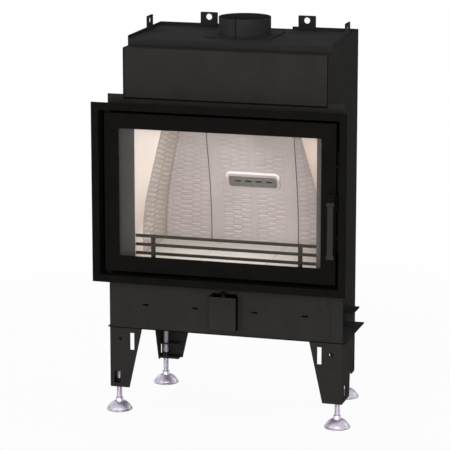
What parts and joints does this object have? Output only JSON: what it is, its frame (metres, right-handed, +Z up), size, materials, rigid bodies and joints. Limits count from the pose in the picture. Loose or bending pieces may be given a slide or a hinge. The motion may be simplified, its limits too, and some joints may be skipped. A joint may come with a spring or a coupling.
{
  "type": "fireplace insert",
  "caption": "Wood burning fireplace insert with a glazed hinged door in a deep frame, fireclay lined firebox, air slider, flue collar, lifting lugs and legs on levelling feet.",
  "frame": {"origin": "on the floor, at the middle of the footprint", "axes": "+X to the viewer's right seen from the door, +Y from the door to the back, +Z up"},
  "size_m": [0.75, 0.451, 1.157],
  "materials": {
    "black_paint": "satin black heat-proof paint",
    "body_paint": "matt dark grey heat-proof paint",
    "glass": "clear glass ceramic",
    "sealing_rope": "braided glass fibre rope",
    "fireclay": "pale pressed fireclay",
    "dark_steel": "brown-grey metal",
    "cast_grey": "grey cast metal",
    "bright_steel": "zinc plated",
    "raw_steel": "bare sheet steel"
  },
  "bodies": {
    "casing": {"air_box": "raw_steel", "air_collar": "body_paint", "air_duct": "raw_steel", "air_sill": "body_paint", "back_panel": "body_paint", "baffle_lower": "fireclay", "baffle_rails": "body_paint", "baffle_upper": "fireclay", "base_plate": "body_paint", "damper_rail": "raw_steel", "door_seat": "body_paint", "floor_steel": "body_paint", "flue_collar": "body_paint", "flue_plate": "body_paint", "front_frame": "black_paint", "front_plate": "body_paint", "hearth_bricks": "fireclay", "hinge_brackets": "black_paint", "hinge_pins": "black_paint", "leg_bolts": "bright_steel", "leg_front_left": "body_paint", "leg_front_right": "body_paint", "leg_rear_left": "body_paint", "leg_rear_right": "body_paint", "lever_box": "body_paint", "lifting_lugs": "body_paint", "lining_back_centre": "fireclay", "lining_back_left": "fireclay", "lining_back_right": "fireclay", "lining_cheek_left": "fireclay", "lining_cheek_right": "fireclay", "lining_side_left": "fireclay", "lining_side_right": "fireclay", "lock_nuts": "dark_steel", "log_guard": "dark_steel", "lower_cover": "body_paint", "nozzle_cover": "cast_grey", "side_ears": "body_paint", "side_panel_left": "body_paint", "side_panel_right": "body_paint", "strikes": "black_paint", "top_plate": "body_paint", "upper_front_panel": "body_paint"},
    "door": {"door_frame": "black_paint", "hinge_bushes": "black_paint", "glass_seal": "sealing_rope", "door_glass": "glass", "glass_clips": "bright_steel", "clip_screws": "bright_steel", "door_rope": "sealing_rope", "shaft_bearings": "black_paint"},
    "latch": {"latch_shaft": "black_paint", "latch_hooks": "black_paint", "handle_grip": "dark_steel"},
    "air_control": {"air_damper": "raw_steel", "lever_knob": "dark_steel"},
    "levelling_foot_front_left": {"foot_front_left": "bright_steel"},
    "levelling_foot_front_right": {"foot_front_right": "bright_steel"},
    "levelling_foot_rear_left": {"foot_rear_left": "bright_steel"},
    "levelling_foot_rear_right": {"foot_rear_right": "bright_steel"}
  },
  "joints": [
    {"name": "door_hinge", "type": "hinge", "parent": "casing", "child": "door", "pos_m": [-0.331, -0.2005, 0.673], "axis": [0, 0, -1], "range_deg": [0, 105]},
    {"name": "handle_turn", "type": "hinge", "parent": "door", "child": "latch", "pos_m": [0.3465, -0.2015, 0.68], "axis": [0, 0, 1], "range_deg": [0, 35]},
    {"name": "air_slide", "type": "slide", "parent": "casing", "child": "air_control", "axis": [1, 0, 0], "range_m": [-0.025, 0.025]},
    {"name": "foot_front_left_screw", "type": "slide", "parent": "casing", "child": "levelling_foot_front_left", "axis": [0, 0, 1], "range_m": [-0.035, 0.03]},
    {"name": "foot_front_right_screw", "type": "slide", "parent": "casing", "child": "levelling_foot_front_right", "axis": [0, 0, 1], "range_m": [-0.035, 0.03]},
    {"name": "foot_rear_left_screw", "type": "slide", "parent": "casing", "child": "levelling_foot_rear_left", "axis": [0, 0, 1], "range_m": [-0.035, 0.03]},
    {"name": "foot_rear_right_screw", "type": "slide", "parent": "casing", "child": "levelling_foot_rear_right", "axis": [0, 0, 1], "range_m": [-0.035, 0.03]}
  ]
}
